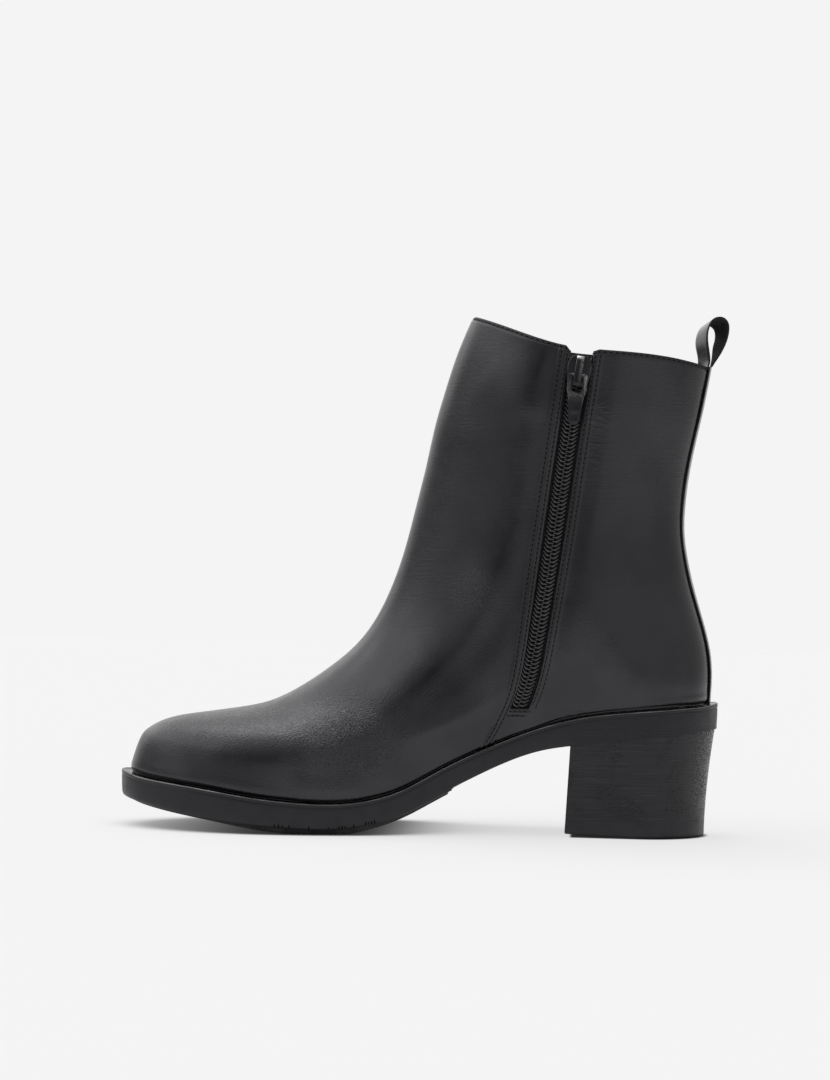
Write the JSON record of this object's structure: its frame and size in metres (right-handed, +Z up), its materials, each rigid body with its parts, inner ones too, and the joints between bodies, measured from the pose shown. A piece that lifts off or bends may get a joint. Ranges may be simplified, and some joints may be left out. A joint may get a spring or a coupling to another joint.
{
  "type": "heeled ankle boot",
  "caption": "Ankle boot for the right foot with a hollow leather upper, inner side zip, back strap with pull loop, welted sole and block heel.",
  "frame": {"origin": "middle of the boot's bounding box in plan, on the floor", "axes": "X from toe to heel, -Y to the inner side of the foot with the zip, +Z up"},
  "size_m": [0.2574, 0.0898, 0.2222],
  "materials": {
    "upper_leather": "smooth semi-gloss black",
    "sole_edge": "satin black",
    "tread_rubber": "matt black",
    "heel_stack": "stacked, satin black",
    "insole_leather": "matt dark",
    "strap_webbing": "tight weave",
    "zip_cloth": "woven",
    "zip_coil": "satin",
    "zip_metal": "satin black"
  },
  "bodies": {
    "boot": {"upper": "upper_leather", "outsole": "sole_edge", "forefoot_tread": "tread_rubber", "heel_stack": "heel_stack", "heel_top_lift": "tread_rubber", "insole": "insole_leather", "back_strap": "strap_webbing", "zip_tape": "zip_cloth", "zip_chain": "zip_coil", "zip_slider": "zip_metal"},
    "pull_tab": {"zip_pull_tab": "zip_metal"}
  },
  "joints": [
    {"name": "pull_tab_hinge", "type": "hinge", "parent": "boot", "child": "pull_tab", "pos_m": [0.06427, -0.03658, 0.19448], "axis": [-0.9957, 0.0358, 0.086], "range_deg": [0, 150]}
  ]
}
